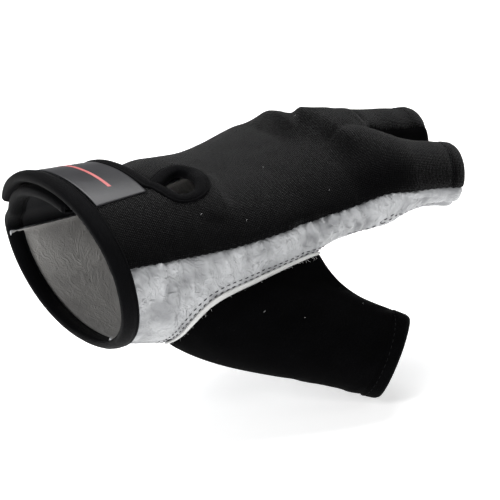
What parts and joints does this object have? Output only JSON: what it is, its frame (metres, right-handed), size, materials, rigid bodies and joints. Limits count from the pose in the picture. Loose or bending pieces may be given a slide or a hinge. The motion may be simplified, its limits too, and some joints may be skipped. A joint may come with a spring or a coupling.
{
  "type": "fitness glove",
  "caption": "Half-finger training glove for a left hand, with a neoprene back, a pale leather palm and side, a stretch thumb and a keyhole wrist tab.",
  "frame": {"origin": "centre of the wrist opening, where the hand goes in", "axes": "+X along the hand to the fingertips, -Y to the thumb's side, +Z out of the back of the hand"},
  "size_m": [0.1383, 0.1119, 0.0881],
  "materials": {
    "neoprene": "black knit-faced foam",
    "pale_leather": "creased, semi-gloss",
    "stretch_cloth": "fine black knit",
    "binding_tape": "black woven tape",
    "welt_cord": "raw white edge",
    "label_panel": "matt dark grey",
    "hook_and_loop": "black hook-and-loop"
  },
  "bodies": {
    "root": {"back_panel": "neoprene", "side_panel": "pale_leather", "palm_panel": "pale_leather", "thumb_sleeve": "stretch_cloth", "strip_index_middle": "stretch_cloth", "strip_middle_ring": "stretch_cloth", "strip_ring_little": "stretch_cloth", "cuff_tape": "binding_tape", "keyhole_tape": "binding_tape", "thumb_welt": "welt_cord", "label_patch": "label_panel", "closure_patch": "hook_and_loop"}
  },
  "joints": []
}
